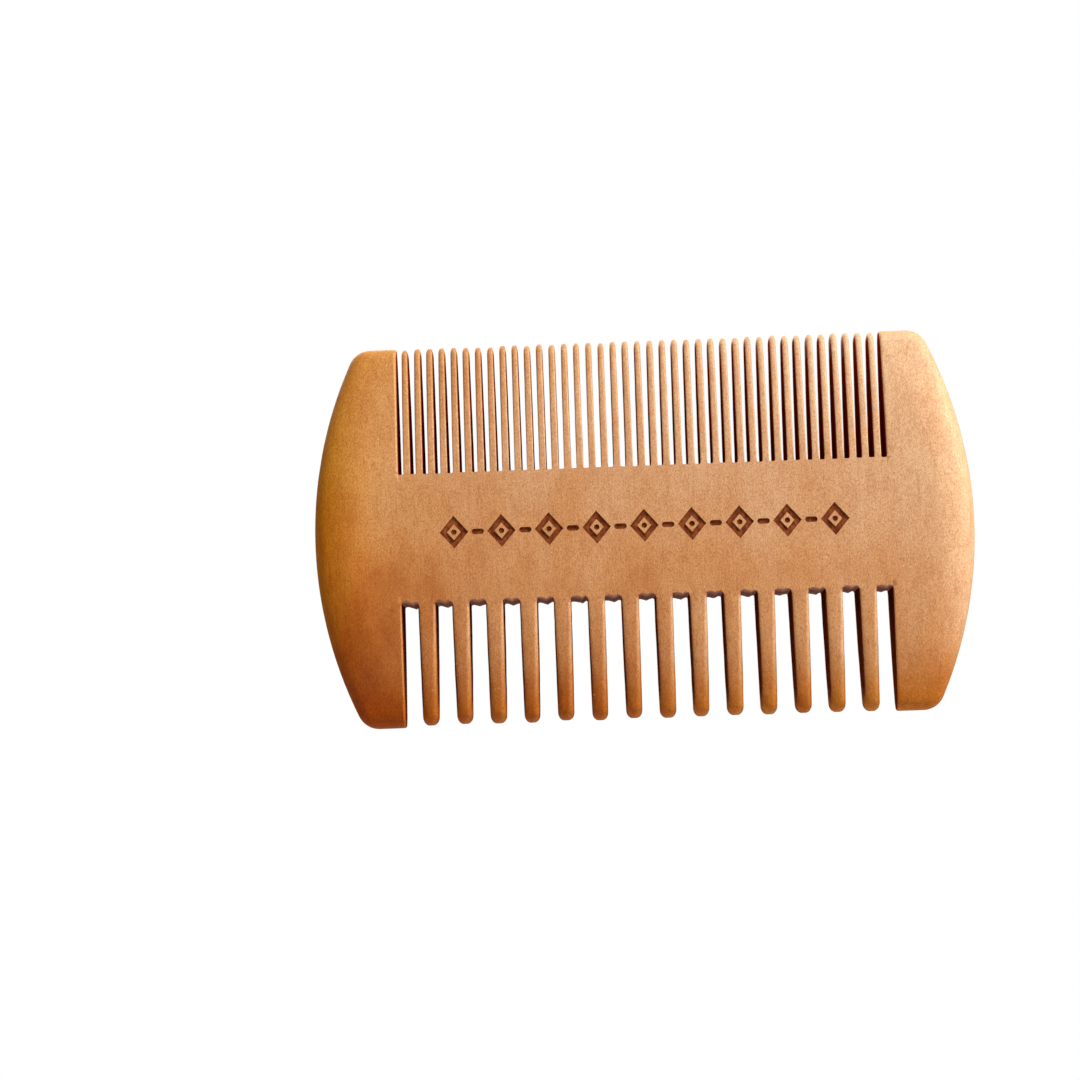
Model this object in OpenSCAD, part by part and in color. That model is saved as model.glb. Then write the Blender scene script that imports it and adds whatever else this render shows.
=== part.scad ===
// Double-sided beard comb, cut from one board of wood. Millimetres.
// X runs along the comb, Y through its thickness with the front at -Y, and Z up.
// The fine teeth point up and the wide teeth point down. The origin is under the
// middle of the comb, level with the lower ends of the two end guards.
// Each named region of the board is a solid of its own, and neighbours meet face to face.

/* [Board] */
// Length over the two end guards
comb_length = 88; // [84:0.5:100]
// Height over the ends of the guards
comb_height = 51; // [49:0.5:58]
// Thickness at the flat middle band
board_thickness = 7.4; // [6:0.1:9]
// Thickness at the tips and at the guards' outer rims
tip_thickness = 3; // [2:0.1:4]
// Height of the flat band along the middle of the front and the back
flat_band_height = 10; // [7:0.5:13]

/* [End guards] */
// Width of the toothed stretch between the two guards
toothed_width = 64.8; // [62:0.2:67]
// Radius of the curved outer edge, seen from the front
guard_edge_radius = 56; // [50:1:80]
// How much is cut off the corners at the upper and lower ends of that edge
guard_corner_cut = 1.6; // [1:0.1:2.4]
// How far in from the outer edge the rim starts to thin
rim_width = 6; // [4:0.5:8]

/* [Fine teeth] */
// Length of a fine tooth, root to tip
fine_tooth_length = 17.4; // [14:0.2:18]
// Width of the saw cut between two fine teeth
fine_slot_width = 0.72; // [0.6:0.02:0.9]
// Width of a fine tooth just below its round tip
fine_tip_width = 0.84; // [0.5:0.02:0.86]
// How far the fine tips stay below the ends of the guards
fine_tip_setback = 0.1; // [0:0.05:0.5]

/* [Wide teeth] */
// Length of a wide tooth, root to tip
wide_tooth_length = 16.1; // [13:0.1:17]
// Width of the cut between two wide teeth at their roots
wide_slot_width = 2.18; // [1.8:0.02:2.6]
// Width of a wide tooth just above its round tip
wide_tip_width = 2.1; // [1.5:0.05:2.2]
// Radius of the corners of a wide tip
wide_tip_corner_radius = 0.65; // [0.3:0.05:0.7]
// How far the wide tips stay above the ends of the guards
wide_tip_setback = 0.2; // [0:0.05:0.5]
// Height of the low ridge that the two saw cuts leave in each wide gullet
gullet_ridge_height = 0.4; // [0.1:0.05:0.8]

/* [Ornament] */
// Number of open lozenges in the engraved row
lozenge_count = 9; // [3:1:9]
// Distance from one lozenge to the next
lozenge_spacing = 6.3; // [5.6:0.1:6.8]
// Width of a lozenge
lozenge_width = 3.6; // [2.4:0.1:3.8]
// Height of a lozenge
lozenge_height = 4.2; // [3:0.1:5]
// Width of the engraved line
engraved_line = 0.6; // [0.4:0.05:0.8]
// Depth of the engraving
engraved_depth = 0.25; // [0.1:0.05:0.4]

/* [Hidden] */
$fn = 64;
large_arc_fn = 720;
rim_bevel_count = 9;
fine_count = 39;
wide_count = 14;

// How far a cutting shape reaches past what it cuts
overlap = 1;
// The two straight cuts at a guard's corner, as shares of the corner cut: how far the first has
// dropped at the corner, and where the second meets the curved edge
corner_first_drop = 0.3;
corner_second_drop = 1.1;
corner_second_reach = 0.5;

mid_z = comb_height / 2;
half_thickness = board_thickness / 2;
field_edge = toothed_width / 2;
edge_centre_x = comb_length / 2 - guard_edge_radius;
guard_corner_x = edge_centre_x + sqrt(guard_edge_radius ^ 2 - mid_z ^ 2);

wide_tip_z = wide_tip_setback;
wide_root_z = wide_tip_z + wide_tooth_length;
fine_tip_z = comb_height - fine_tip_setback;
fine_root_z = fine_tip_z - fine_tooth_length;

fine_pitch = (toothed_width - fine_slot_width) / fine_count;
fine_root_width = fine_pitch - fine_slot_width;
wide_pitch = (toothed_width - wide_slot_width) / wide_count;
wide_root_width = wide_pitch - wide_slot_width;

wood = [0.80, 0.56, 0.37];
end_grain_wood = [0.74, 0.48, 0.29];

function tooth_x(index, count, pitch) = (index - (count + 1) / 2) * pitch;
function numbered(name, i) = str(name, i < 10 ? "0" : "", i);

// Radius of the arc that thins the board from full thickness to its tip thickness
function thinning_radius(reach) =
    let (drop = half_thickness - tip_thickness / 2)
    (reach ^ 2 + drop ^ 2) / (2 * drop);

// Half of a section: full thickness at x = 0, thinning to the tip thickness at x = reach
module thinning_edge(reach) {
    radius = thinning_radius(reach);
    intersection() {
        translate([0, half_thickness - radius]) circle(r = radius, $fn = large_arc_fn);
        translate([0, radius - half_thickness]) circle(r = radius, $fn = large_arc_fn);
        translate([0, -board_thickness]) square([reach, 2 * board_thickness]);
    }
}

// Section through the thickness: a flat band, thinning upwards and downwards
module cross_section() {
    reach = mid_z - flat_band_height / 2;
    for (up = [-1, 1])
        translate([0, mid_z + up * flat_band_height / 2])
            rotate(up * 90)
                thinning_edge(reach);
    translate([-half_thickness, mid_z - flat_band_height / 2])
        square([board_thickness, flat_band_height]);
}

// The whole board before it is cut to outline
module board() {
    rotate([90, 0, 90])
        linear_extrude(comb_length, center = true)
            cross_section();
}

// The part of the board inside an outline drawn as seen from the front
module cut_from_board() {
    intersection() {
        board();
        rotate([90, 0, 0])
            linear_extrude(board_thickness + 2 * overlap, center = true)
                children();
    }
}

// Front outline of the right guard, about the middle of its height
module guard_outline() {
    cut = guard_corner_cut;
    outside_x = guard_corner_x + cut + overlap;
    difference() {
        intersection() {
            translate([edge_centre_x, 0]) circle(r = guard_edge_radius, $fn = large_arc_fn);
            translate([field_edge, -mid_z]) square([comb_length, comb_height]);
        }
        for (up = [-1, 1])
            polygon([
                [guard_corner_x - cut, up * (mid_z + overlap)],
                [guard_corner_x - cut, up * mid_z],
                [guard_corner_x, up * (mid_z - cut * corner_first_drop)],
                [guard_corner_x + cut * corner_second_reach, up * (mid_z - cut * corner_second_drop)],
                [outside_x, up * (mid_z - cut * corner_second_drop)],
                [outside_x, up * (mid_z + overlap)],
            ]);
    }
}

// What the flat bevels side by side along the rim cut away
module rim_bevels() {
    slope = (half_thickness - tip_thickness / 2) / rim_width;
    inner_end = guard_edge_radius - rim_width - overlap / slope;
    outer_end = guard_edge_radius + overlap;
    span = asin(mid_z / guard_edge_radius);
    for (k = [0 : rim_bevel_count - 1], side = [-1, 1])
        translate([edge_centre_x, 0, mid_z])
            rotate([0, span * (2 * k / (rim_bevel_count - 1) - 1), 0])
                linear_extrude(2 * comb_height, center = true)
                    polygon([
                        [inner_end, side * (half_thickness + overlap)],
                        [outer_end, side * (tip_thickness / 2 - overlap * slope)],
                        [outer_end, side * (half_thickness + overlap)],
                    ]);
}

module right_end_guard() {
    color(wood)
        difference() {
            cut_from_board() translate([0, mid_z]) guard_outline();
            rim_bevels();
        }
}

module left_end_guard() {
    mirror([1, 0, 0]) right_end_guard();
}

// One open lozenge of the engraved row
module lozenge(width, height) {
    polygon([[-width / 2, 0], [0, -height / 2], [width / 2, 0], [0, height / 2]]);
}

// Engraved row of open lozenges with a dot in each and a dash between neighbours
module ornament() {
    inner = 1 - 2 * engraved_line * sqrt(1 / lozenge_width ^ 2 + 1 / lozenge_height ^ 2);
    dash = lozenge_spacing - lozenge_width - 2 * engraved_line;
    for (i = [1 : lozenge_count])
        translate([tooth_x(i, lozenge_count, lozenge_spacing), 0]) {
            difference() {
                lozenge(lozenge_width, lozenge_height);
                lozenge(lozenge_width * inner, lozenge_height * inner);
            }
            circle(d = engraved_line);
        }
    for (i = [1 : lozenge_count - 1])
        translate([tooth_x(i, lozenge_count - 1, lozenge_spacing), 0])
            square([dash, engraved_line], center = true);
}

// Front outline of the spine: straight above, with a low ridge in each gullet below
module spine_outline() {
    gullets = [for (i = [0 : wide_count]) -field_edge + wide_slot_width / 2 + i * wide_pitch];
    lower_edge = [for (x = gullets) each [
        [x - wide_slot_width / 2, wide_root_z],
        [x, wide_root_z - gullet_ridge_height],
        [x + wide_slot_width / 2, wide_root_z],
    ]];
    polygon(concat(lower_edge, [[field_edge, fine_root_z], [-field_edge, fine_root_z]]));
}

module spine() {
    color(wood)
        difference() {
            cut_from_board() spine_outline();
            translate([0, engraved_depth - half_thickness, mid_z])
                rotate([90, 0, 0])
                    linear_extrude(engraved_depth + overlap)
                        ornament();
        }
}

// Front outline of a fine tooth, from its root up to its round tip
module fine_outline() {
    shoulder = fine_tooth_length - fine_tip_width / 2;
    polygon([
        [-fine_root_width / 2, 0],
        [fine_root_width / 2, 0],
        [fine_tip_width / 2, shoulder],
        [-fine_tip_width / 2, shoulder],
    ]);
    translate([0, shoulder]) circle(d = fine_tip_width);
}

module fine_tooth(index) {
    color(wood)
        cut_from_board()
            translate([tooth_x(index, fine_count, fine_pitch), fine_root_z])
                fine_outline();
}

// What is trimmed off a wide tip to round its right-hand corner
module tip_corner_trim() {
    reach = wide_tip_corner_radius + overlap;
    translate([wide_tip_width / 2 - wide_tip_corner_radius, wide_tip_corner_radius - wide_tooth_length])
        difference() {
            translate([0, -reach]) square([reach, reach]);
            circle(r = wide_tip_corner_radius);
        }
}

// Front outline of a wide tooth, from its root down to its blunt round tip
module wide_outline() {
    shoulder = wide_tooth_length - wide_tip_corner_radius;
    difference() {
        polygon([
            [-wide_root_width / 2, 0],
            [wide_root_width / 2, 0],
            [wide_tip_width / 2, -shoulder],
            [wide_tip_width / 2, -wide_tooth_length],
            [-wide_tip_width / 2, -wide_tooth_length],
            [-wide_tip_width / 2, -shoulder],
        ]);
        tip_corner_trim();
        mirror([1, 0]) tip_corner_trim();
    }
}

module wide_tooth(index) {
    color(end_grain_wood)
        cut_from_board()
            translate([tooth_x(index, wide_count, wide_pitch), wide_root_z])
                wide_outline();
}

spine();
left_end_guard();
right_end_guard();
for (i = [1 : wide_count])
    wide_tooth(i);
for (i = [1 : fine_count])
    fine_tooth(i);
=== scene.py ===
"""Looks of the double-sided beard comb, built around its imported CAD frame.

Every piece stands for one CAD node: the spine, the two end guards and each tooth. They are regions of
one board of oiled wood, so neighbouring pieces share their meeting planes and their surfaces run on
from one to the next. Shapes are worked out in millimetres and turned into metres when a mesh is made.
"""

import math
import random

import bmesh
import bpy
from mathutils import Matrix, Vector


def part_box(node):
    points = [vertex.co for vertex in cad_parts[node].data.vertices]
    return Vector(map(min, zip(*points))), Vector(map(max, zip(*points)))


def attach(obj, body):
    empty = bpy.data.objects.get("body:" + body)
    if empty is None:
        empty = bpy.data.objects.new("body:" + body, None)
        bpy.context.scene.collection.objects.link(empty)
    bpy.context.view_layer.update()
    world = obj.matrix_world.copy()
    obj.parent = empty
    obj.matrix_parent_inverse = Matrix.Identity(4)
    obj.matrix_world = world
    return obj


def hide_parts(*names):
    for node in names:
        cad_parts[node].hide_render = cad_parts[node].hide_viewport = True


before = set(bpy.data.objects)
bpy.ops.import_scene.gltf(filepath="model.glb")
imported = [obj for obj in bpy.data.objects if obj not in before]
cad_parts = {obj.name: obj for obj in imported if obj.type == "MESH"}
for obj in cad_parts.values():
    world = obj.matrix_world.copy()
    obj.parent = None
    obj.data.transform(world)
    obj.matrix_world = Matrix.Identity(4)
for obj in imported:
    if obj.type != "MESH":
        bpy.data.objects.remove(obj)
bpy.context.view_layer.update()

MM = 0.001


def box_in_mm(node):
    """The lowest and the highest corner of a CAD node, in millimetres."""
    low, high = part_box(node)
    return low / MM, high / MM


# The board, in millimetres, from the CAD frame
GUARD_LOW, GUARD_HIGH = box_in_mm("right_end_guard")
SPINE_HIGH = box_in_mm("spine")[1]
HALF_LENGTH = GUARD_HIGH.x
HALF_FIELD = GUARD_LOW.x
MID_Z = (GUARD_LOW.z + GUARD_HIGH.z) / 2
HALF_HEIGHT = (GUARD_HIGH.z - GUARD_LOW.z) / 2
HALF_THICKNESS = SPINE_HIGH.y
WIDE_NODES = sorted(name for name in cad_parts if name.startswith("wide_tooth_"))
FINE_NODES = sorted(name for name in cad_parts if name.startswith("fine_tooth_"))
WIDE_ROOT_Z = box_in_mm(WIDE_NODES[0])[1].z
FINE_ROOT_Z = box_in_mm(FINE_NODES[0])[0].z

# How the board is sanded thinner
TIP_HALF_THICKNESS = 1.5
HALF_FLAT_BAND = 5.0
THINNING_REACH = HALF_HEIGHT - HALF_FLAT_BAND
THINNING_DROP = HALF_THICKNESS - TIP_HALF_THICKNESS

# Heights between the two rows of roots at which the spine and the guards have points. The guards have
# more of them inside the flat band, where their rim curves.
SPINE_ROWS = [WIDE_ROOT_Z + 1.0, WIDE_ROOT_Z + 2.2, WIDE_ROOT_Z + 3.3, MID_Z - HALF_FLAT_BAND,
              MID_Z + HALF_FLAT_BAND, FINE_ROOT_Z - 2.2, FINE_ROOT_Z - 1.2]
BAND_ROWS = [MID_Z + HALF_FLAT_BAND * step / 4 for step in range(-3, 4)]

# How a cut edge changes away from its root: it is rounded over the first stretch and its painted highlight,
# which stands for light falling on the right-hand edges, grows over the second, and no corner is rounder
# than a share of what it turns
ROUNDED_OVER = 0.5
HIGHLIGHT_GROWS_OVER = 0.8
ROOT_CORNER = 0.01
ROUNDEST_TOOTH_CORNER = 0.96
ROUNDEST_GUARD_CORNER = 0.8
HIGHLIGHT_LOST_AT_TIP = 0.6
SCORCH_LOST_AT_TIP = 0.75

# End guards
GUARD_EDGE_RADIUS = 56.0
GUARD_EDGE_CENTRE_X = HALF_LENGTH - GUARD_EDGE_RADIUS
GUARD_CORNER_RADIUS = 3.0
GUARD_INNER_CORNER_RADIUS = 0.3
GUARD_NOSE_RADIUS = 1.5
RIM_WIDTH = 6.0
GUARD_FREE_LENGTH = 17.0
GUARD_INNER_ROUND = 0.3
GUARD_INNER_ROUND_AT_ENDS = 0.4
GUARD_INNER_COLUMNS = 8
LEAST_INNER_WIDTH = 0.2
GUARD_BURN_FROM = 0.65
# Painted highlight along the left guard's inner edge, which faces right towards the light
LEFT_GUARD_HIGHLIGHT = 0.8

# The guard's wall is less scorched near its free end: from here, over this length, by this share
PALE_WALL_FROM = 15.0
PALE_WALL_OVER = 2.0
PALE_WALL_SHARE = 0.2

# Where the guard's rows and columns lie: degrees round its nose and its rim, millimetres in from an
# end, and millimetres beyond a root
NOSE_ANGLES = (0, 9, 18, 27, 36, 46, 56, 67, 78, 90)
RIM_ANGLES = (90, 80, 70, 60, 51, 43, 36, 29, 23, 17, 11, 5, 0)
ROWS_FROM_END = [1.8, 2.2, 2.8, 3.6, 4.8, 6.2, 7.8, 9.4, 11.0, 12.6, 14.0]
ROWS_FROM_ROOT = (0, 0.1, 0.25, 0.5)

# Wide gullets between the teeth. Pairs are the least and the most that chance picks.
GULLET_COLUMNS = 10
GULLET_CHAMFER = 0.26
GULLET_SCORCH_SPREAD = 0.12
RIDGE_PLACE = (0.45, 0.72)
RIDGE_HEIGHT = (0.14, 0.28)
RIDGE_STEEPNESS = 1.4
SAW_LIFT = (0.05, 0.16)
GULLET_ROUGHNESS = 0.015

# Fine slots between the teeth
SLOT_COLUMNS = 4
SLOT_CHAMFER = 0.05
SLOT_SCORCH_SPREAD = 0.04
SLOT_END_DEPTH = (0.0, 0.07)
SLOT_SQUARENESS = 8

# How scorched the spine's lips are, along the inside and the outside of their chamfer, how far the
# scorch fades over the face, and where the cut faces have a column, as shares of the half thickness
GULLET_LIP_SCORCH = (0.85, 0.4)
SLOT_LIP_SCORCH = (0.8, 0.35)
SCORCHED_BAND = 0.3
CUT_FACE_SHARES = (0.9, 0.3)

# Engraved row
LOZENGE_COUNT = 9
LOZENGE_SPACING = 6.3
LOZENGE_WIDTH = 3.6
LOZENGE_HEIGHT = 4.2
ENGRAVED_LINE = 0.6
ENGRAVED_DEPTH = 0.25
ENGRAVED_TAPER = 0.07
SPOT_STEPS = 24

# How pale the board is, 0 to 1, as parts that add up
# Painted light and shade: the board is paler to the right and upwards and darker to the left and downwards,
# as if lit from the upper right
PAINTED_LIGHT_ALONG = 0.13
PAINTED_LIGHT_UP = 0.18
TONE_OF_PATCHES = 0.5
# Painted highlight along the right-hand edges
TONE_OF_HIGHLIGHT = 0.35
# Painted highlight over the right rim, where the light from the right falls
RIGHT_RIM_HIGHLIGHT = (0.31, 0.53)
# Painted highlight towards the top of the left end, from its bottom to its top
LEFT_END_HIGHLIGHT_UP = (-0.05, 0.25)

CORNER_STEPS = 5
SHARP_ANGLE = math.radians(38)
CHARRED = 0.6
SCORCH_AND_HIGHLIGHT_LAYER = "scorch"
BODY = "root"

chance = random.Random(23)


# ---------------------------------------------------------------- shape rules

def clamp(value, low=0.0, high=1.0):
    return min(max(value, low), high)


def smooth(value):
    """0 to 1 with a level start and end."""
    value = clamp(value)
    return value * value * (3 - 2 * value)


def arc_drop(distance, reach, drop):
    """How far a sanded face has fallen, on an arc that falls by drop over reach."""
    radius = (reach ** 2 + drop ** 2) / (2 * drop)
    return radius - math.sqrt(radius ** 2 - clamp(distance, 0.0, reach) ** 2)


def board_half(z):
    """Half the thickness of the board at a height."""
    beyond = abs(z - MID_Z) - HALF_FLAT_BAND
    return HALF_THICKNESS - arc_drop(beyond, THINNING_REACH, THINNING_DROP)


def round_off(distance, radius):
    """Share of a size that is left this near to a rounded end: 0 at the end, 1 a radius in."""
    return math.sqrt(1 - (1 - clamp(distance / radius)) ** 2)


def round_inset(degrees):
    """How far in from a round end a point lies, this far round it, as a share of the radius."""
    return 1 - math.cos(math.radians(degrees))


# ---------------------------------------------------------------- mesh making

def finish_mesh(name, bm, materials):
    """Turns a bmesh in millimetres into an object at the origin, in metres."""
    bmesh.ops.remove_doubles(bm, verts=bm.verts, dist=1e-4)
    bmesh.ops.recalc_face_normals(bm, faces=bm.faces)
    bmesh.ops.scale(bm, vec=(MM, MM, MM), verts=bm.verts)
    mesh = bpy.data.meshes.new(name)
    bm.to_mesh(mesh)
    bm.free()
    for material in materials:
        mesh.materials.append(material)
    mesh.shade_smooth()
    mesh.set_sharp_from_angle(angle=SHARP_ANGLE)
    made = bpy.data.objects.new(name, mesh)
    bpy.context.scene.collection.objects.link(made)
    return made


def add_loft(bm, loops, capped=True, cyclic=False):
    """A skin through loops of equally many points. A point is x, y, z and how scorched it is, or,
    below zero, how strong the painted highlight on it is. Faces that are scorched all over take the second
    material."""
    layers = bm.verts.layers.float
    scorch = layers.get(SCORCH_AND_HIGHLIGHT_LAYER) or layers.new(SCORCH_AND_HIGHLIGHT_LAYER)
    rows = []
    for loop in loops:
        row = []
        for x, y, z, burn_and_highlight in loop:
            vertex = bm.verts.new((x, y, z))
            vertex[scorch] = burn_and_highlight
            row.append(vertex)
        rows.append(row)
    pairs = list(zip(rows, rows[1:]))
    if cyclic:
        pairs.append((rows[-1], rows[0]))
    for first, second in pairs:
        for i in range(len(first)):
            j = (i + 1) % len(first)
            face = bm.faces.new((first[i], first[j], second[j], second[i]))
            face.material_index = int(min(vertex[scorch] for vertex in face.verts) > CHARRED)
    if capped:
        bm.faces.new(reversed(rows[0]))
        bm.faces.new(rows[-1])


def place(piece, node):
    """The piece stands for its CAD node and moves with the comb's one body."""
    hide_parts(node)
    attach(piece, BODY)


# ---------------------------------------------------------------- teeth

def tooth_ring(x, z, half_width, half_depth, corner, wall_scorch, edge_highlight, burn_and_shade_from):
    """One rounded rectangle round a tooth, with scorched side walls and a painted highlight on its
    right-hand edges, which face the light. burn_and_shade_from is the cosine of the angle at which the burn
    starts, on the left and the right edges; an earlier start on the left paints shade there as well as
    scorch."""
    corner = min(corner, ROUNDEST_TOOTH_CORNER * half_width, ROUNDEST_TOOTH_CORNER * half_depth)
    ring = []
    for quarter in range(4):
        for step in range(CORNER_STEPS + 1):
            angle = math.pi / 2 * (quarter + step / CORNER_STEPS)
            middle = math.pi / 2 * (quarter + 0.5)
            side_x = math.copysign(half_width - corner, math.cos(middle))
            side_y = math.copysign(half_depth - corner, math.sin(middle))
            # The earlier start on the left edges paints shade there, on the side turned from the light, as
            # well as scorch
            start = burn_and_shade_from[0] if math.cos(middle) < 0 else burn_and_shade_from[1]
            burn_and_highlight = wall_scorch * smooth((abs(math.cos(angle)) - start) / (1 - start))
            # Painted highlight on the right-hand edges, which face the light
            if math.cos(middle) > 0:
                burn_and_highlight -= edge_highlight * abs(math.sin(2 * angle))
            at_x = x + side_x + corner * math.cos(angle)
            ring.append((at_x, side_y + corner * math.sin(angle), z, burn_and_highlight))
    return ring


def tooth_piece(node, materials, look):
    """A tapered tooth with softened edges and a rounded tip, from its root plane to its tip."""
    low, high = box_in_mm(node)
    up = 1 if look["points_up"] else -1
    root_z = low.z if look["points_up"] else high.z
    length = high.z - low.z + chance.uniform(-1, 1) * look["tip_scatter"]
    centre = (low.x + high.x) / 2
    root_half = (high.x - low.x) / 2
    tip_half = look["tip_width"] / 2 * (1 + chance.uniform(-1, 1) * look["width_scatter"])
    lean = chance.uniform(-1, 1) * look["lean"]
    wander = [chance.uniform(-1, 1) * look["wander"] for _ in look["rings"]]
    sanded_from = chance.uniform(*look["sanded_from"])

    nose = look["nose"]
    stations = [(share * (length - nose), bend) for share, bend in zip(look["rings"], wander)]
    for angle in look["nose_angles"]:
        stations.append((length - nose * round_inset(angle), 0.0))

    bm = bmesh.new()
    rings = []
    for along, bend in stations:
        share = along / length
        to_tip = length - along
        z = root_z + up * along
        tip_cut = look["tip_shrink"] * (1 - round_off(to_tip, look["tip_reach"]))
        half_width = root_half + (tip_half - root_half) * share ** look["taper"] + bend - tip_cut
        half_depth = board_half(z) * round_off(to_tip, nose)
        corner = look["edge"] + (look["tip_edge"] - look["edge"]) * share ** look["edge_growth"]
        corner = ROOT_CORNER + (corner - ROOT_CORNER) * smooth(along / ROUNDED_OVER)
        wall_scorch = 1 - SCORCH_LOST_AT_TIP * smooth((share - sanded_from) / (1 - sanded_from))
        edge_highlight = look["edge_highlight"] * smooth(along / HIGHLIGHT_GROWS_OVER) * (1 - HIGHLIGHT_LOST_AT_TIP * share)
        x = centre + lean * share ** 2
        ring = tooth_ring(x, z, half_width, half_depth, corner, wall_scorch, edge_highlight, look["burn_and_shade_from"])
        rings.append(ring)
    add_loft(bm, rings)
    place(finish_mesh(node + "_wood", bm, materials), node)


# How each kind of tooth is made, in millimetres unless said otherwise. The half width goes from its
# root to tip_width as share ** taper, and its edges' radius from edge to tip_edge as share **
# edge_growth, where share runs from 0 at the root to 1 at the tip. rings are such shares too. The tip
# is rounded through the thickness over nose, at nose_angles in degrees, and across the width by
# tip_shrink over tip_reach. Scatter, lean and wander are the most that chance adds, with
# width_scatter as a share of the width. edge_highlight is 0 to 1 and sets a painted highlight along the
# right-hand edges; burn_and_shade_from is cosines, left and right, where the earlier left start paints
# shade over the left edges as well as scorch; and sanded_from is the shares between which the scorch
# starts to fade.
WIDE_LOOK = {
    "points_up": False,
    "tip_width": 2.1,
    "taper": 1.7,
    "tip_scatter": 0.1,
    "width_scatter": 0.03,
    "lean": 0.05,
    "wander": 0.015,
    "rings": (0, 0.01, 0.03, 0.06, 0.12, 0.2, 0.3, 0.42, 0.54, 0.66, 0.78, 0.89),
    "nose": 1.4,
    "nose_angles": (90, 78, 66, 54, 43, 32, 21, 9),
    "tip_shrink": 0.82,
    "tip_reach": 1.05,
    "edge_highlight": 0.9,
    "burn_and_shade_from": (0.35, 0.72),
    "edge": 0.36,
    "tip_edge": 0.92,
    "edge_growth": 0.9,
    "sanded_from": (0.6, 0.8),
}

FINE_LOOK = {
    "points_up": True,
    "tip_width": 0.81,
    "taper": 1.5,
    "tip_scatter": 0.09,
    "width_scatter": 0.05,
    "lean": 0.04,
    "wander": 0.01,
    "rings": (0, 0.01, 0.03, 0.07, 0.15, 0.25, 0.37, 0.5, 0.63, 0.76, 0.88),
    "nose": 1.3,
    "nose_angles": (90, 77, 64, 52, 40, 28, 17, 8),
    "tip_shrink": 0.32,
    "tip_reach": 0.95,
    "edge_highlight": 0.6,
    "burn_and_shade_from": (0.55, 0.75),
    "edge": 0.12,
    "tip_edge": 0.34,
    "edge_growth": 0.8,
    "sanded_from": (0.8, 0.93),
}


# ---------------------------------------------------------------- end guards

def guard_corner():
    """Centre of the arc that rounds the guard's upper outer corner: x, and height above the middle."""
    up = HALF_HEIGHT - GUARD_CORNER_RADIUS
    across = math.sqrt((GUARD_EDGE_RADIUS - GUARD_CORNER_RADIUS) ** 2 - up ** 2)
    return GUARD_EDGE_CENTRE_X + across, up


def guard_outer_x(up):
    """Where the guard's outline lies at a height above or below the middle."""
    corner_x, corner_up = guard_corner()
    reach = GUARD_EDGE_RADIUS / (GUARD_EDGE_RADIUS - GUARD_CORNER_RADIUS)
    if abs(up) < corner_up * reach:
        return GUARD_EDGE_CENTRE_X + math.sqrt(GUARD_EDGE_RADIUS ** 2 - up ** 2)
    return corner_x + math.sqrt(max(0.0, GUARD_CORNER_RADIUS ** 2 - (abs(up) - corner_up) ** 2))


def guard_half_depth(x, up):
    """Half the guard's thickness: the board's own section, thinned along the rim and rounded off."""
    corner_x, corner_up = guard_corner()
    to_arc = GUARD_EDGE_RADIUS - math.hypot(x - GUARD_EDGE_CENTRE_X, up)
    to_edge = min(to_arc, HALF_HEIGHT - abs(up))
    beyond_x, beyond_up = x - corner_x, abs(up) - corner_up
    above_arc = beyond_up * (corner_x - GUARD_EDGE_CENTRE_X) > beyond_x * corner_up
    if beyond_x > 0 and beyond_up > 0 and above_arc:
        to_edge = GUARD_CORNER_RADIUS - math.hypot(beyond_x, beyond_up)
    rim = arc_drop(RIM_WIDTH - to_arc, RIM_WIDTH, THINNING_DROP) / THINNING_DROP
    body = TIP_HALF_THICKNESS + (board_half(MID_Z + up) - TIP_HALF_THICKNESS) * (1 - rim)
    return body * round_off(to_edge, GUARD_NOSE_RADIUS)


def guard_rows():
    """Heights of the guard's rows: close together at both ends and just beyond the spine."""
    inward = [GUARD_NOSE_RADIUS * round_inset(angle) for angle in NOSE_ANGLES] + ROWS_FROM_END
    upper_root, lower_root = FINE_ROOT_Z - MID_Z, WIDE_ROOT_Z - MID_Z
    rows = {round(side * (HALF_HEIGHT - depth), 4) for side in (-1, 1) for depth in inward}
    rows |= {upper_root + step for step in ROWS_FROM_ROOT}
    rows |= {lower_root - step for step in ROWS_FROM_ROOT}
    rows |= {z - MID_Z for z in SPINE_ROWS + BAND_ROWS}
    return sorted(rows)


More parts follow.
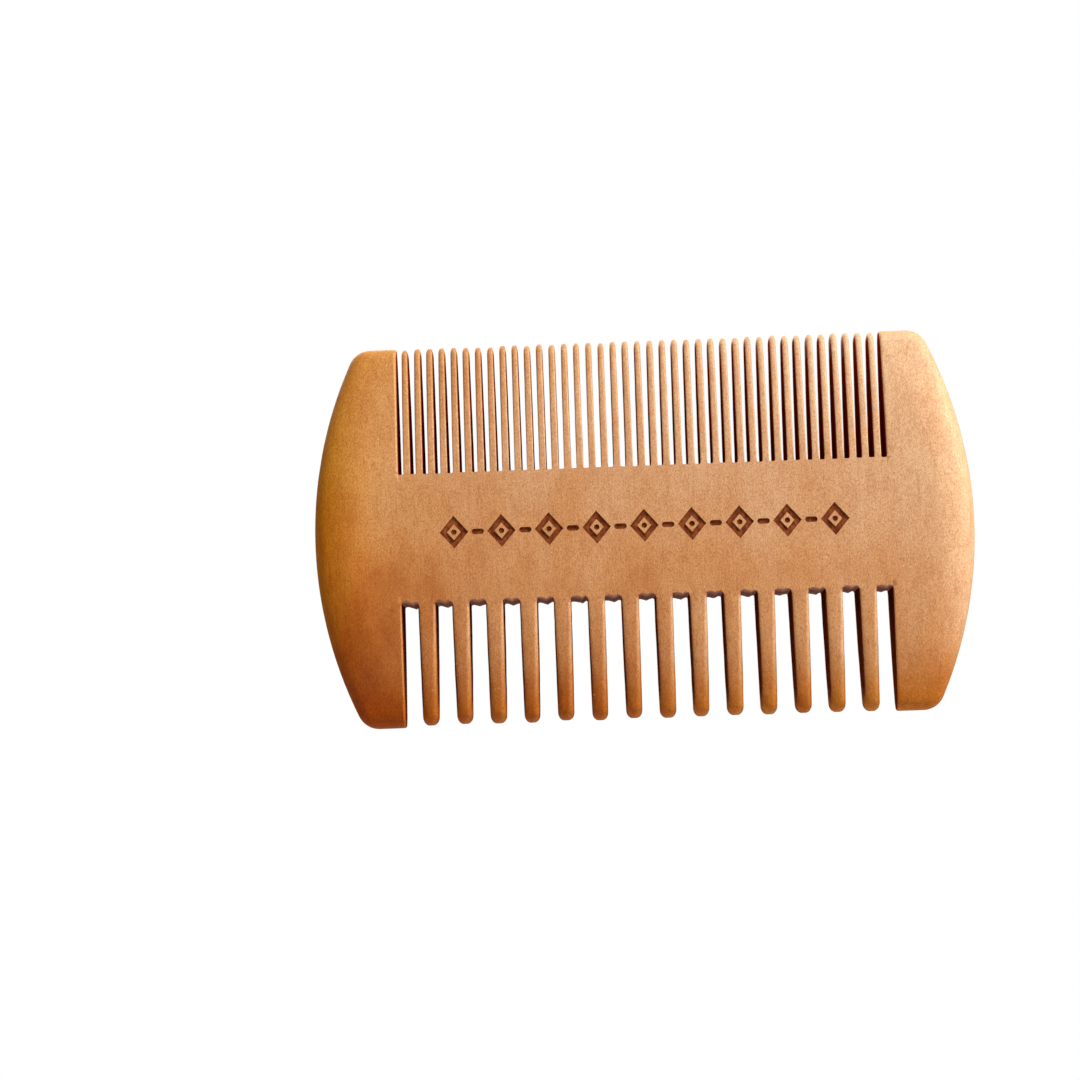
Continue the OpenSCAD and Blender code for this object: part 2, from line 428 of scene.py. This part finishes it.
def guard_row(up, side):
    """One loop through the guard at a height: along its front, round its rim and back behind."""
    above = up - (FINE_ROOT_Z - MID_Z)
    below = (WIDE_ROOT_Z - MID_Z) - up
    beyond = max(above, below, 0.0)
    to_end = HALF_HEIGHT - abs(up)
    corner_left = round_off(to_end, GUARD_INNER_CORNER_RADIUS)
    inner_x = HALF_FIELD + GUARD_INNER_CORNER_RADIUS * (1 - corner_left)
    outer_x = guard_outer_x(up)
    growth = (GUARD_INNER_ROUND_AT_ENDS - GUARD_INNER_ROUND) * (beyond / GUARD_FREE_LENGTH) ** 2
    round_now = (GUARD_INNER_ROUND + growth) * smooth(beyond / ROUNDED_OVER)
    round_now = min(round_now, ROUNDEST_GUARD_CORNER * guard_half_depth(inner_x, up))
    wall = 0.0
    if beyond > 0:
        wall = 1 - PALE_WALL_SHARE * smooth((beyond - PALE_WALL_FROM) / PALE_WALL_OVER)
    # Painted highlight along the left guard's inner edge, which faces right towards the light
    edge_highlight = LEFT_GUARD_HIGHLIGHT * smooth(beyond / HIGHLIGHT_GROWS_OVER) if side < 0 else 0.0

    front = []
    for step in range(CORNER_STEPS + 1):
        angle = math.pi / 2 * step / CORNER_STEPS
        x = inner_x + round_now * (1 - math.cos(angle))
        depth = guard_half_depth(x, up) - round_now * (1 - math.sin(angle))
        burn_and_highlight = wall * smooth((math.cos(angle) - GUARD_BURN_FROM) / (1 - GUARD_BURN_FROM))
        front.append((x, depth, burn_and_highlight - edge_highlight * math.sin(2 * angle)))
    start = inner_x + round_now
    stop = max(outer_x - RIM_WIDTH, start + LEAST_INNER_WIDTH)
    for step in range(1, GUARD_INNER_COLUMNS):
        x = start + (stop - start) * step / GUARD_INNER_COLUMNS
        front.append((x, guard_half_depth(x, up), 0.0))
    for angle in RIM_ANGLES:
        x = outer_x - (outer_x - stop) * round_inset(angle)
        front.append((x, guard_half_depth(x, up), 0.0))
    loop = [(side * x, -depth, MID_Z + up, burn_and_highlight) for x, depth, burn_and_highlight in front]
    loop += [(side * x, depth, MID_Z + up, burn_and_highlight) for x, depth, burn_and_highlight in reversed(front)]
    return loop


def guard_piece(node, side, materials):
    bm = bmesh.new()
    add_loft(bm, [guard_row(up, side) for up in guard_rows()], capped=False)
    place(finish_mesh(node + "_wood", bm, materials), node)


# ---------------------------------------------------------------- spine

def gaps_between(nodes):
    """The gaps along a row of teeth, from one guard to the other, as pairs of x."""
    edges = [-HALF_FIELD]
    for node in nodes:
        low, high = box_in_mm(node)
        edges += [low.x, high.x]
    edges.append(HALF_FIELD)
    return list(zip(edges[0::2], edges[1::2]))


GULLETS = gaps_between(WIDE_NODES)
SLOTS = gaps_between(FINE_NODES)


def gullet_profile(start, stop):
    """Lower edge of the spine in one wide gap: two saw cuts that meet at a low, uneven ridge."""
    ridge_at = chance.uniform(*RIDGE_PLACE)
    ridge = chance.uniform(*RIDGE_HEIGHT)
    lifts = chance.uniform(*SAW_LIFT), chance.uniform(*SAW_LIFT)
    columns = []
    for step in range(GULLET_COLUMNS + 1):
        share = step / GULLET_COLUMNS
        before = share < ridge_at
        rise = share / ridge_at if before else (1 - share) / (1 - ridge_at)
        lift = lifts[0] if before else lifts[1]
        z = WIDE_ROOT_Z + lift * math.sin(math.pi * math.sqrt(rise)) - ridge * rise ** RIDGE_STEEPNESS
        z += chance.uniform(-GULLET_ROUGHNESS, GULLET_ROUGHNESS) * (0 < step < GULLET_COLUMNS)
        chamfer = GULLET_CHAMFER * smooth(4 * min(share, 1 - share))
        columns.append((start + (stop - start) * share, z, chamfer))
    return columns


def slot_profile(start, stop):
    """Upper edge of the spine in one fine slot: the nearly square end of the saw cut."""
    depth = chance.uniform(*SLOT_END_DEPTH)
    columns = []
    for step in range(SLOT_COLUMNS + 1):
        share = step / SLOT_COLUMNS
        bowl = math.sqrt(max(0.0, 1 - (2 * share - 1) ** SLOT_SQUARENESS))
        columns.append((start + (stop - start) * share, FINE_ROOT_Z - depth * bowl, SLOT_CHAMFER * bowl))
    return columns


def edge_at(x, columns):
    """Height and chamfer of an edge at x, between its columns."""
    for (x0, z0, c0), (x1, z1, c1) in zip(columns, columns[1:]):
        if x0 <= x <= x1:
            share = (x - x0) / (x1 - x0)
            return z0 + (z1 - z0) * share, c0 + (c1 - c0) * share
    raise ValueError("x is outside the toothed stretch")


def spine_loop(x, lower, upper):
    """One loop through the spine at x: up its front and down its back."""
    low_z, low_cut = edge_at(x, lower)
    high_z, high_cut = edge_at(x, upper)
    low_burn = 1.0 if any(start <= x <= stop for start, stop in GULLETS) else 0.0
    high_burn = 1.0 if any(start <= x <= stop for start, stop in SLOTS) else 0.0
    low_depth, high_depth = board_half(low_z) - low_cut, board_half(high_z) - high_cut
    front = [(low_depth, low_z, GULLET_LIP_SCORCH[0] * low_burn)]
    front.append((board_half(low_z + low_cut), low_z + low_cut, GULLET_LIP_SCORCH[1] * low_burn))
    band = low_z + low_cut + SCORCHED_BAND
    front.append((board_half(band), band, 0.0))
    front += [(board_half(z), z, 0.0) for z in SPINE_ROWS]
    band = high_z - high_cut - SCORCHED_BAND / 2
    front.append((board_half(band), band, 0.0))
    front.append((board_half(high_z - high_cut), high_z - high_cut, SLOT_LIP_SCORCH[1] * high_burn))
    front.append((high_depth, high_z, SLOT_LIP_SCORCH[0] * high_burn))
    under = [(share * low_depth, low_z, low_burn) for share in CUT_FACE_SHARES]
    over = [(share * high_depth, high_z, high_burn) for share in CUT_FACE_SHARES]
    half = list(reversed(under)) + front + over
    loop = [(x, -depth, z, burn_and_highlight) for depth, z, burn_and_highlight in half]
    loop += [(x, depth, z, burn_and_highlight) for depth, z, burn_and_highlight in reversed(half)]
    return loop


def spine_piece(node, materials):
    lower = [column for gap in GULLETS for column in gullet_profile(*gap)]
    upper = [column for gap in SLOTS for column in slot_profile(*gap)]
    lines = {column[0] for column in lower + upper}
    lines |= {start - GULLET_SCORCH_SPREAD for start, stop in GULLETS[1:]}
    lines |= {stop + GULLET_SCORCH_SPREAD for start, stop in GULLETS[:-1]}
    lines |= {start - SLOT_SCORCH_SPREAD for start, stop in SLOTS[1:]}
    lines |= {stop + SLOT_SCORCH_SPREAD for start, stop in SLOTS[:-1]}
    bm = bmesh.new()
    add_loft(bm, [spine_loop(x, lower, upper) for x in sorted(lines)])
    piece = finish_mesh(node + "_wood", bm, materials)
    engrave(piece, materials)
    place(piece, node)


# ---------------------------------------------------------------- engraved row

def flat_point(x, up, y):
    """A point of a cutter, at a height above the middle, neither scorched nor worn."""
    return (x, y, MID_Z + up, 0.0)


def ring_cutter(bm, x):
    """Cuts one open lozenge, a little wider at the surface than at its floor."""
    floor, mouth = -HALF_THICKNESS + ENGRAVED_DEPTH, -HALF_THICKNESS - ENGRAVED_DEPTH
    line_share = 2 * ENGRAVED_LINE * math.hypot(1 / LOZENGE_WIDTH, 1 / LOZENGE_HEIGHT)
    taper_share = line_share * 2 * ENGRAVED_TAPER / ENGRAVED_LINE
    sections = []
    for quarter in range(4):
        across = LOZENGE_WIDTH / 2 * round(math.cos(quarter * math.pi / 2))
        up = LOZENGE_HEIGHT / 2 * round(math.sin(quarter * math.pi / 2))
        corners = [(1 + taper_share, mouth), (1, floor), (1 - line_share, floor),
                   (1 - line_share - taper_share, mouth)]
        sections.append([flat_point(x + across * size, up * size, y) for size, y in corners])
    add_loft(bm, sections, capped=False, cyclic=True)


def spot_cutter(bm, x, half_length, half_height):
    """Cuts a dot, or a dash with round ends when half_length is the larger."""
    floor, mouth = -HALF_THICKNESS + ENGRAVED_DEPTH, -HALF_THICKNESS - ENGRAVED_DEPTH
    loops = []
    for y, grow in ((mouth, 2 * ENGRAVED_TAPER), (floor, 0.0)):
        radius = half_height + grow
        loop = []
        for step in range(SPOT_STEPS):
            angle = 2 * math.pi * (step + 0.5) / SPOT_STEPS
            offset = math.copysign(half_length - half_height, math.cos(angle))
            loop.append(flat_point(x + offset + radius * math.cos(angle), radius * math.sin(angle), y))
        loops.append(loop)
    add_loft(bm, loops)


def engrave(piece, materials):
    """Cuts the row of open lozenges, dots and dashes into the front of the spine."""
    bm = bmesh.new()
    dash = LOZENGE_SPACING - LOZENGE_WIDTH - 2 * ENGRAVED_LINE
    for i in range(LOZENGE_COUNT):
        x = (i - (LOZENGE_COUNT - 1) / 2) * LOZENGE_SPACING
        ring_cutter(bm, x)
        spot_cutter(bm, x, ENGRAVED_LINE / 2, ENGRAVED_LINE / 2)
        if i < LOZENGE_COUNT - 1:
            spot_cutter(bm, x + LOZENGE_SPACING / 2, dash / 2, ENGRAVED_LINE / 2)
    for face in bm.faces:
        face.material_index = materials.index(ENGRAVED)
    cutter = finish_mesh("engraving_cutter", bm, materials)
    cut = piece.modifiers.new("engraving", "BOOLEAN")
    cut.object = cutter
    cut.operation = "DIFFERENCE"
    cut.solver = "EXACT"
    cut.material_mode = "TRANSFER"
    bpy.context.view_layer.update()
    evaluated = piece.evaluated_get(bpy.context.evaluated_depsgraph_get())
    result = bpy.data.meshes.new_from_object(evaluated)
    piece.modifiers.clear()
    piece.data = result
    bpy.data.objects.remove(cutter)
    result.shade_smooth()
    result.set_sharp_from_angle(angle=SHARP_ANGLE)


# ---------------------------------------------------------------- shader helpers

def tint(red, green, blue):
    """A colour given as the eye reads it, 0 to 255, as the linear values that shaders take."""
    def linear(value):
        value /= 255
        return value / 12.92 if value <= 0.04045 else ((value + 0.055) / 1.055) ** 2.4
    return linear(red), linear(green), linear(blue), 1.0


def add(tree, kind, inputs, output=0, **settings):
    """Adds a shader node, sets or links its inputs, and returns one of its outputs."""
    made = tree.nodes.new("ShaderNode" + kind)
    for name, value in settings.items():
        setattr(made, name, value)
    for name, value in inputs.items():
        if isinstance(value, bpy.types.NodeSocket):
            tree.links.new(value, made.inputs[name])
        else:
            made.inputs[name].default_value = value
    return made.outputs[output]


def math_of(tree, operation, first, second=0.0, clamped=False):
    return add(tree, "Math", {0: first, 1: second}, operation=operation, use_clamp=clamped)


def mix(tree, share, first, second, blend="MIX"):
    return add(tree, "Mix", {0: share, 6: first, 7: second}, 2, data_type="RGBA", blend_type=blend)


def remap(tree, value, low, high, to_low=0.0, to_high=1.0):
    """Takes low..high to to_low..to_high with soft ends."""
    limits = {"From Min": low, "From Max": high, "To Min": to_low, "To Max": to_high}
    return add(tree, "MapRange", {"Value": value, **limits}, interpolation_type="SMOOTHSTEP")


def places_in_mm(tree):
    """Where a point is on the comb, in millimetres."""
    origin = add(tree, "TexCoord", {}, "Object")
    return add(tree, "VectorMath", {0: origin, "Scale": 1 / MM}, operation="SCALE")


def stretched(tree, place, per_mm):
    return add(tree, "VectorMath", {0: place, 1: per_mm}, operation="MULTIPLY")


def noise(tree, place, per_mm, detail=3.0, roughness=0.55):
    """Noise with its own number of features per millimetre along x, y and z."""
    vector = stretched(tree, place, per_mm)
    return add(tree, "TexNoise", {"Vector": vector, "Scale": 1.0, "Detail": detail, "Roughness": roughness})


def specks(tree, place, per_mm, size, kept):
    """Small marks, one in each cell of a stretched lattice, of which only a share is kept."""
    vector = stretched(tree, place, per_mm)
    voronoi = {"Vector": vector, "Scale": 1.0, "Randomness": 1.0}
    distance = add(tree, "TexVoronoi", voronoi, "Distance", feature="F1")
    cell = add(tree, "TexVoronoi", voronoi, "Color", feature="F1")
    pick = add(tree, "SeparateColor", {0: cell}, 0)
    near = remap(tree, distance, size, 0.4 * size)
    return math_of(tree, "MULTIPLY", near, math_of(tree, "LESS_THAN", pick, kept))


def surface(tree, colour, roughness, height, relief, specular, alpha=1.0):
    """Ends a material in one shader with these looks. Relief is in metres."""
    bump = add(tree, "Bump", {"Height": height, "Strength": 1.0, "Distance": relief})
    looks = {"Base Color": colour, "Roughness": roughness, "Normal": bump, "Alpha": alpha}
    bsdf = add(tree, "BsdfPrincipled", {**looks, "Specular IOR Level": specular})
    output = tree.nodes.new("ShaderNodeOutputMaterial")
    tree.links.new(bsdf, output.inputs["Surface"])


def new_tree(name):
    material = bpy.data.materials.new(name)
    material.use_nodes = True
    tree = material.node_tree
    tree.nodes.clear()
    return material, tree


# ---------------------------------------------------------------- materials

BOARD_COLOURS = [
    (0.1, tint(156, 84, 26)),
    (0.3, tint(184, 113, 56)),
    (0.5, tint(206, 147, 95)),
    (0.7, tint(215, 168, 126)),
    (0.9, tint(229, 190, 147)),
]


def board_tone(tree, place):
    """How pale the board is, 0 to 1: painted light that makes it paler to the right and upwards and darker
    to the left and downwards, a painted highlight towards the top of the left end, on the right rim and
    along the right-hand edges, and soft patches of the wood's own tone."""
    axes = add(tree, "SeparateXYZ", {0: place}).node.outputs
    low, high = MID_Z - HALF_HEIGHT, MID_Z + HALF_HEIGHT
    # Painted light and shade: paler to the right and upwards, darker to the left and downwards
    along = math_of(tree, "MULTIPLY", axes["X"], PAINTED_LIGHT_ALONG / HALF_LENGTH)
    up = math_of(tree, "MULTIPLY", math_of(tree, "SUBTRACT", axes["Z"], MID_Z), PAINTED_LIGHT_UP / HALF_HEIGHT)
    patches = math_of(tree, "MULTIPLY", noise(tree, place, (0.12, 0.12, 0.07), 3.0), TONE_OF_PATCHES)
    # Painted highlight over the right rim
    right_rim_highlight = remap(tree, axes["X"], 0.86 * HALF_LENGTH, HALF_LENGTH, *RIGHT_RIM_HIGHLIGHT)
    # Painted highlight, strongest towards the top of the left end
    left_end_shading = remap(tree, axes["X"], -0.6 * HALF_LENGTH, -0.85 * HALF_LENGTH)
    left_end_shading = math_of(tree, "MULTIPLY", left_end_shading, remap(tree, axes["Z"], low, high, *LEFT_END_HIGHLIGHT_UP))
    marked = add(tree, "Attribute", {}, "Fac", attribute_name=SCORCH_AND_HIGHLIGHT_LAYER)
    # Painted highlight where the attribute is below zero, on right-facing edges
    highlighted = math_of(tree, "MULTIPLY", math_of(tree, "MULTIPLY", marked, -1.0, clamped=True), TONE_OF_HIGHLIGHT)
    tone = math_of(tree, "ADD", math_of(tree, "ADD", along, up), math_of(tree, "ADD", patches, highlighted))
    return math_of(tree, "ADD", tone, math_of(tree, "ADD", right_rim_highlight, left_end_shading))


def board_colour(tree, tone):
    ramp = tree.nodes.new("ShaderNodeValToRGB")
    stops = ramp.color_ramp.elements
    for i, (position, colour) in enumerate(BOARD_COLOURS):
        stop = stops[i] if i < 2 else stops.new(position)
        stop.position, stop.color = position, colour
    tree.links.new(tone, ramp.inputs[0])
    return ramp.outputs[0]


def oil_and_shade_over(tree, place, colour):
    """The colour where the wood is darker and more orange: at the wide tips, partly oil taken up and partly
    painted shade where the tips turn downwards; at the fine tips over the left half, partly oil and partly
    painted shade away from the light from the right; and over the left end and along the left guard's rim,
    painted shade on the side turned from the light.
    Also returns how much more oil and shade the tips and the left rim take, 0 to 1."""
    axes = add(tree, "SeparateXYZ", {0: place}).node.outputs
    wide_tips = remap(tree, axes["Z"], MID_Z - 0.55 * HALF_HEIGHT, MID_Z - HALF_HEIGHT)
    fine_tips = remap(tree, axes["Z"], MID_Z + 0.3 * HALF_HEIGHT, MID_Z + HALF_HEIGHT, 0.0, 0.6)
    fine_tips = math_of(tree, "MULTIPLY", fine_tips, remap(tree, axes["X"], HALF_FIELD, -HALF_FIELD))
    left_end_shading = remap(tree, axes["X"], -0.5 * HALF_LENGTH, -0.75 * HALF_LENGTH)
    left_rim = remap(tree, axes["X"], -0.7 * HALF_LENGTH, -HALF_LENGTH)
    tips = math_of(tree, "MAXIMUM", wide_tips, fine_tips)
    # Partly oil and partly painted shade at the tips
    colour = mix(tree, tips, colour, tint(226, 188, 100), "MULTIPLY")
    # Painted shade over the left end
    colour = mix(tree, left_end_shading, colour, tint(255, 248, 225), "MULTIPLY")
    # Painted shade along the left guard's rim, which faces away from the light
    colour = mix(tree, left_rim, colour, tint(255, 220, 84), "MULTIPLY")
    return colour, math_of(tree, "MAXIMUM", tips, left_rim)


def scorched_over(tree, place, colour):
    """Char over the cut faces, with an uneven edge. Returns the colour and how charred it is."""
    marked = add(tree, "Attribute", {}, "Fac", attribute_name=SCORCH_AND_HIGHLIGHT_LAYER)
    uneven = noise(tree, place, (3.0, 3.0, 1.2), 3.0)
    wander = math_of(tree, "MULTIPLY", math_of(tree, "SUBTRACT", uneven, 0.5), 0.5)
    char = remap(tree, math_of(tree, "ADD", marked, wander), 0.3, 0.75)
    char = math_of(tree, "MULTIPLY", char, remap(tree, marked, 0.0, 0.12))
    wide_soot = mix(tree, remap(tree, uneven, 0.3, 0.7), tint(84, 22, 6), tint(118, 50, 22))
    fine_soot = mix(tree, remap(tree, uneven, 0.3, 0.7), tint(144, 44, 18), tint(160, 60, 28))
    height = add(tree, "SeparateXYZ", {0: place}, "Z")
    soot = mix(tree, remap(tree, height, MID_Z - 1, MID_Z + 1), wide_soot, fine_soot)
    # Painted light: char on downward faces is made paler and purple-brown, standing in for light reaching
    # the undersides
    faces = add(tree, "NewGeometry", {}, "Normal")
    downward = math_of(tree, "MULTIPLY", add(tree, "SeparateXYZ", {0: faces}, "Z"), -1.0)
    soot = mix(tree, remap(tree, downward, 0.3, 0.9), soot, tint(165, 112, 96))
    return mix(tree, char, colour, soot), char


def oiled_wood(name, specular):
    """Close-grained oiled wood: faint upright fibres, small dark pores, a few pale flecks, and char."""
    material, tree = new_tree(name)
    place = places_in_mm(tree)
    colour = board_colour(tree, board_tone(tree, place))
    colour, oil_and_shade = oil_and_shade_over(tree, place, colour)

    fibres = noise(tree, place, (3.2, 3.2, 0.22), 5.0, 0.62)
    colour = mix(tree, remap(tree, fibres, 0.42, 0.74, 0.0, 0.4), colour, tint(232, 214, 196), "MULTIPLY")
    clouds = noise(tree, place, (0.9, 0.9, 0.45), 4.0, 0.6)
    colour = mix(tree, remap(tree, clouds, 0.42, 0.68, 0.0, 0.45), colour, tint(236, 220, 204), "MULTIPLY")
    grains = noise(tree, place, (6.0, 6.0, 3.6), 4.0, 0.8)
    colour = mix(tree, remap(tree, grains, 0.4, 0.64, 0.0, 0.85), colour, tint(208, 184, 160), "MULTIPLY")
    streaks = specks(tree, place, (0.8, 0.8, 0.16), 0.12, 0.12)
    colour = mix(tree, math_of(tree, "MULTIPLY", streaks, 0.45), colour, tint(120, 66, 30))
    pores = specks(tree, place, (1.0, 1.0, 0.7), 0.13, 0.5)
    colour = mix(tree, math_of(tree, "MULTIPLY", pores, 0.5), colour, tint(150, 80, 46))
    flecks = specks(tree, place, (0.8, 0.8, 0.8), 0.13, 0.12)
    colour = mix(tree, math_of(tree, "MULTIPLY", flecks, 0.3), colour, tint(246, 214, 170))

    colour, char = scorched_over(tree, place, colour)
    rough = remap(tree, fibres, 0.3, 0.7, 0.44, 0.56)
    rough = math_of(tree, "MAXIMUM", rough, math_of(tree, "MULTIPLY", char, 0.8))
    height = math_of(tree, "MULTIPLY", math_of(tree, "ADD", fibres, grains), 0.5)
    height = math_of(tree, "SUBTRACT", height, math_of(tree, "MULTIPLY", pores, 0.5))
    shine = remap(tree, oil_and_shade, 0.0, 1.0, specular, 0.25 * specular)
    surface(tree, colour, rough, height, 0.03 * MM, shine)
    return material


def engraved_wood():
    """The burnt floor and walls of the engraved row."""
    material, tree = new_tree("engraved_wood")
    place = places_in_mm(tree)
    uneven = noise(tree, place, (2.2, 2.2, 1.4), 4.0, 0.6)
    colour = mix(tree, remap(tree, uneven, 0.35, 0.68), tint(104, 42, 14), tint(150, 80, 40))
    spots = specks(tree, place, (2.4, 2.4, 2.4), 0.3, 0.35)
    colour = mix(tree, math_of(tree, "MULTIPLY", spots, 0.7), colour, tint(66, 24, 10))
    surface(tree, colour, remap(tree, uneven, 0.3, 0.7, 0.6, 0.8), uneven, 0.06 * MM, 0.1)
    return material


def pale_floor():
    """Matt white paper that is solid under the comb and fades into the white backdrop further out."""
    material, tree = new_tree("pale_floor")
    place = places_in_mm(tree)
    uneven = noise(tree, place, (0.01, 0.01, 0.01), 2.0)
    colour = mix(tree, uneven, (0.88, 0.88, 0.88, 1), (0.92, 0.92, 0.92, 1))
    away = add(tree, "VectorMath", {0: place}, "Value", operation="LENGTH")
    there = remap(tree, away, FLOOR_FADE_START, FLOOR_FADE_END, 1.0, 0.0)
    surface(tree, colour, 0.9, uneven, 0.01 * MM, 0.1, alpha=there)
    return material


# ---------------------------------------------------------------- stage

FLOOR_DROP = 200.0
FLOOR_HALF_SIZE = 2000.0
FLOOR_FADE_START = 250.0
FLOOR_FADE_END = 900.0


def make_floor():
    bm = bmesh.new()
    bmesh.ops.create_grid(bm, x_segments=4, y_segments=4, size=FLOOR_HALF_SIZE)
    bmesh.ops.translate(bm, verts=bm.verts, vec=(0, 0, -FLOOR_DROP))
    floor = finish_mesh("studio_floor", bm, [pale_floor()])


def make_world():
    """White behind the comb, and a softer grey sky that lights it evenly."""
    world = bpy.data.worlds.new("studio")
    world.use_nodes = True
    bpy.context.scene.world = world
    tree = world.node_tree
    tree.nodes.clear()
    seen = add(tree, "LightPath", {}, "Is Camera Ray")
    lighting = add(tree, "Background", {"Color": (1.0, 0.99, 0.97, 1), "Strength": 0.15})
    backdrop = add(tree, "Background", {"Color": (1, 1, 1, 1), "Strength": 1.0})
    both = add(tree, "MixShader", {0: seen, 1: lighting, 2: backdrop})
    output = tree.nodes.new("ShaderNodeOutputWorld")
    tree.links.new(both, output.inputs["Surface"])


def make_light(name, place, target, size, power, colour):
    """A soft round light that faces the comb."""
    lamp = bpy.data.lights.new(name, "AREA")
    lamp.shape = "DISK"
    lamp.size = size
    lamp.energy = power
    lamp.color = colour
    made = bpy.data.objects.new(name, lamp)
    made.location = place
    made.rotation_euler = (target - place).to_track_quat("-Z", "Y").to_euler()
    bpy.context.scene.collection.objects.link(made)


def towards(azimuth, elevation, distance):
    """A place seen from the comb: azimuth 0 is in front and 90 to its right; distance in metres."""
    a, e = math.radians(azimuth), math.radians(elevation)
    return distance * Vector((math.sin(a) * math.cos(e), -math.cos(a) * math.cos(e), math.sin(e)))


def make_lights(centre):
    make_light("key", centre + towards(30, 52, 0.7), centre, 0.3, 5.8, (1.0, 0.99, 0.97))
    make_light("side", centre + towards(78, 22, 0.6), centre, 0.3, 3.0, (1.0, 0.98, 0.95))
    make_light("rear_fill", centre + towards(205, 40, 0.8), centre, 0.6, 4.0, (0.97, 0.98, 1.0))


# ---------------------------------------------------------------- camera

CAMERA_DISTANCE = 347.3
CAMERA_RIGHT = -13.87
CAMERA_DOWN = -1.525
PITCH = math.radians(-6.59)
YAW = math.radians(-1.15)
ROLL = math.radians(-1.95)
LENS = 86.67


def make_camera(centre):
    """The viewpoint: a little below the comb, which leans away and is tipped up to its right."""
    turn = Matrix.Rotation(ROLL, 3, "Y") @ Matrix.Rotation(PITCH, 3, "X") @ Matrix.Rotation(YAW, 3, "Z")
    right, ahead, up = (Vector(row) for row in turn)
    offset = CAMERA_RIGHT * right - CAMERA_DISTANCE * ahead + CAMERA_DOWN * up
    lens = bpy.data.cameras.new("camera")
    lens.lens = LENS
    lens.sensor_width = 36
    lens.clip_start = 0.01
    camera = bpy.data.objects.new("camera", lens)
    axes = Matrix((right, up, -ahead)).transposed().to_4x4()
    camera.matrix_world = Matrix.Translation(centre + offset * MM) @ axes
    bpy.context.scene.collection.objects.link(camera)
    bpy.context.scene.camera = camera


# ---------------------------------------------------------------- the comb

WOOD = oiled_wood("oiled_wood", 0.26)
SCORCHED = oiled_wood("scorched_wood", 0.0)
ENGRAVED = engraved_wood()

spine_piece("spine", [WOOD, SCORCHED, ENGRAVED])
guard_piece("left_end_guard", -1, [WOOD, SCORCHED])
guard_piece("right_end_guard", 1, [WOOD, SCORCHED])
for node_name in WIDE_NODES:
    tooth_piece(node_name, [WOOD, SCORCHED], WIDE_LOOK)
for node_name in FINE_NODES:
    tooth_piece(node_name, [WOOD, SCORCHED], FINE_LOOK)

comb_centre = Vector((0, 0, MID_Z * MM))
make_floor()
make_world()
make_lights(comb_centre)
make_camera(comb_centre)
bpy.context.scene.view_settings.view_transform = "Standard"
